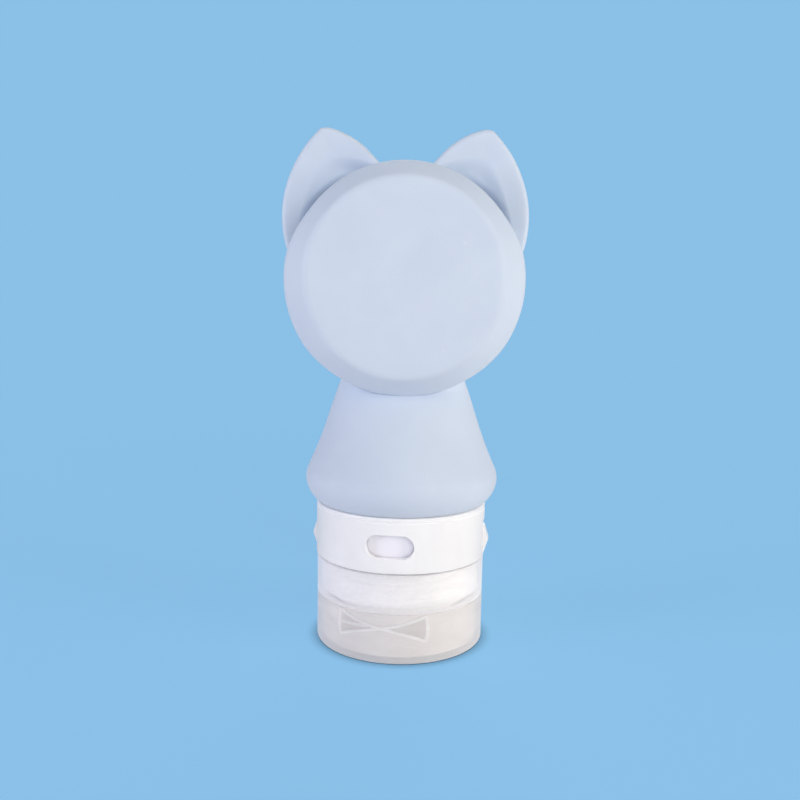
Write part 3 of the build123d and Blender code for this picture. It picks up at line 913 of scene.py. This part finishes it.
camera_place = Vector((-0.62 * MM, -200.0 * MM, 80.0 * MM))
camera_pitch = math.radians(6.5)
camera_roll = math.radians(0.88)
focal_pixels, frame_pixels = 843.0, 800.0  # the photo's focal length and width
floor_radius, floor_steps = 3.0, 96
lit_limits, lit_most = (0.05, 0.5), 0.35  # distances at which the floor's lit share starts to fall and ends
open_floor_light = 0.63  # brightness of the open floor's lit part, as a share of its colour
contact_reach = 5.0 * MM  # how far round the object's foot the contact shadow goes
contact_limits, contact_least = (0.2, 0.9), 0.1  # openness over which the floor's glow rises, and its least
floor_bounce = (0.94, 0.95, 0.98)
room_light, room_strength = (0.96, 0.965, 1.0), 0.262
soft_light = (0.97, 1.0, 0.98)
warm_light = (1.0, 0.915, 0.83)
cool_light = (0.88, 0.87, 1.0)
lamps = (  # name, place, size, watts and tint
    ("front_lamp", (0.4, -0.93, 0.3), 0.45, 3.0, soft_light),
    ("right_lamp", (0.86, -0.42, 0.32), 0.5, 4.6, warm_light),
    ("left_lamp", (-0.9, -0.35, 0.3), 0.5, 4.5, cool_light),
    ("back_lamp", (0.2, 1.0, 0.5), 0.6, 2.5, soft_light),
)


def seen_ray(tree):
    """1 for rays from the camera, mirrors and clear plastic, and 0 for the light that falls on the object."""
    path = add(tree, "ShaderNodeLightPath").outputs
    shown = maths(tree, "MAXIMUM", path["Is Camera Ray"], path["Is Glossy Ray"])
    return maths(tree, "MAXIMUM", shown, path["Is Transmission Ray"])


def plain_shader(tree, kind, tint, **sockets):
    """Output of a shader of one colour."""
    return add(tree, kind, {"Color": (*tint, 1.0), **sockets}).outputs[0]


def mixed_shader(tree, factor, first, second):
    """Output of a mix of two shaders."""
    return add(tree, "ShaderNodeMixShader", {0: factor, 1: first, 2: second}).outputs[0]


def floor_material(backdrop):
    """Floor that shows the backdrop's colour with the object's soft shadow, and throws back neutral light.

    It is part lit and part glowing, and the glow makes up for what the open floor lacks against the backdrop.
    Where something stands on it the glow fades as well, which gives the narrow contact shadow.
    """
    made = bpy.data.materials.new("pale_floor")
    made.use_nodes = True
    tree = made.node_tree
    tree.nodes.clear()
    place = add(tree, "ShaderNodeTexCoord").outputs["Object"]
    far = add(tree, "ShaderNodeVectorMath", {0: place}, operation="LENGTH").outputs["Value"]
    lit_share = remap(tree, far, *lit_limits, lit_most, 0.0)
    glow_share = maths(tree, "SUBTRACT", 1.0, lit_share)
    missing = maths(tree, "MULTIPLY_ADD", lit_share, -open_floor_light, 1.0)
    contact = add(tree, "ShaderNodeAmbientOcclusion", {"Distance": contact_reach}).outputs["AO"]
    darkened = remap(tree, contact, *contact_limits, contact_least, 1.0)
    strength = maths(tree, "MULTIPLY", maths(tree, "DIVIDE", missing, glow_share), darkened)
    glow = plain_shader(tree, "ShaderNodeEmission", backdrop, Strength=strength)
    lit = plain_shader(tree, "ShaderNodeBsdfDiffuse", backdrop)
    neutral = plain_shader(tree, "ShaderNodeBsdfDiffuse", floor_bounce)
    both = mixed_shader(tree, seen_ray(tree), neutral, mixed_shader(tree, glow_share, lit, glow))
    add(tree, "ShaderNodeOutputMaterial", {"Surface": both})
    return made


def set_world(backdrop):
    """World that shows the backdrop's colour and lights the object evenly."""
    world = bpy.data.worlds.new("soft_room")
    bpy.context.scene.world = world
    world.use_nodes = True
    tree = world.node_tree
    tree.nodes.clear()
    shown = plain_shader(tree, "ShaderNodeBackground", backdrop, Strength=1.0)
    light = plain_shader(tree, "ShaderNodeBackground", room_light, Strength=room_strength)
    add(tree, "ShaderNodeOutputWorld", {"Surface": mixed_shader(tree, seen_ray(tree), light, shown)})


def soft_box(aim, name, place, size, watts, tint):
    """Square area lamp that looks at a point."""
    lamp = bpy.data.lights.new(name, "AREA")
    lamp.shape, lamp.size, lamp.energy, lamp.color = "SQUARE", size, watts, tint
    made = bpy.data.objects.new(name, lamp)
    turned = (aim - Vector(place)).to_track_quat("-Z", "Y").to_matrix().to_4x4()
    made.matrix_world = Matrix.Translation(place) @ turned
    bpy.context.scene.collection.objects.link(made)


class TRAVELBOTTLE_OT_stage(bpy.types.Operator):
    """Floor, world, lamps and the camera at the photograph's angle"""

    bl_idname = "travelbottle.stage"
    bl_label = "Stage"

    def execute(self, context):
        backdrop = settings("bottle_colours").backdrop
        turn = np.linspace(0.0, math.tau, floor_steps, endpoint=False)
        ring = np.stack((floor_radius * np.cos(turn), floor_radius * np.sin(turn), 0 * turn), axis=-1)
        floor = mesh_object("floor", ring, [list(range(floor_steps))])
        floor.data.materials.append(floor_material(backdrop))
        set_world(backdrop)
        middle = Vector((0.0, 0.0, 0.5 * cad_high.z))
        for lamp in lamps:
            soft_box(middle, *lamp)
        camera = bpy.data.cameras.new("photo_camera")
        camera.sensor_fit, camera.sensor_width = "HORIZONTAL", 36.0
        camera.lens = camera.sensor_width * focal_pixels / frame_pixels
        camera.clip_start, camera.clip_end = 0.01, 20.0
        made = bpy.data.objects.new("photo_camera", camera)
        made.matrix_world = (
            Matrix.Translation(camera_place)
            @ Matrix.Rotation(math.pi / 2 - camera_pitch, 4, "X") @ Matrix.Rotation(camera_roll, 4, "Z")
        )
        context.scene.collection.objects.link(made)
        context.scene.camera = made
        context.scene.view_settings.view_transform = "Standard"
        return {"FINISHED"}


operators = (
    TRAVELBOTTLE_OT_silicone_body, TRAVELBOTTLE_OT_cap_parts, TRAVELBOTTLE_OT_hinge_film,
    TRAVELBOTTLE_OT_white_parts, TRAVELBOTTLE_OT_seals, TRAVELBOTTLE_OT_stage,
)
property_groups = {
    "bottle_sizes": BottleSizes, "bottle_ears": EarSizes,
    "bottle_film": FilmSizes, "bottle_colours": BottleColours,
}


class TRAVELBOTTLE_PT_panel(bpy.types.Panel):
    """Lists the bottle's pieces, sizes and colours"""

    bl_label = "Travel Bottle"
    bl_idname = "TRAVELBOTTLE_PT_panel"
    bl_space_type = "VIEW_3D"
    bl_region_type = "UI"
    bl_category = "Travel Bottle"

    def draw(self, context):
        for operator in operators:
            self.layout.operator(operator.bl_idname)
        for name, kind in property_groups.items():
            box = self.layout.box()
            for field in kind.__annotations__:
                box.prop(getattr(context.scene, name), field)


classes = (*property_groups.values(), *operators, TRAVELBOTTLE_PT_panel)


def register():
    """Registers the property groups, operators and panel."""
    for kind in classes:
        bpy.utils.register_class(kind)
    for name, kind in property_groups.items():
        setattr(bpy.types.Scene, name, PointerProperty(type=kind))


def unregister():
    """Takes them out again, the classes in the other order."""
    for name in property_groups:
        delattr(bpy.types.Scene, name)
    for kind in reversed(classes):
        bpy.utils.unregister_class(kind)


def main():
    """Builds the whole scene."""
    register()
    for make_effect in (make_clouding, make_moulded_grain, make_lint, make_scuffs, make_bow_field):
        make_effect()
    for operator in operators:
        category, name = operator.bl_idname.split(".")
        getattr(getattr(bpy.ops, category), name)()


if __name__ == "__main__":
    main()
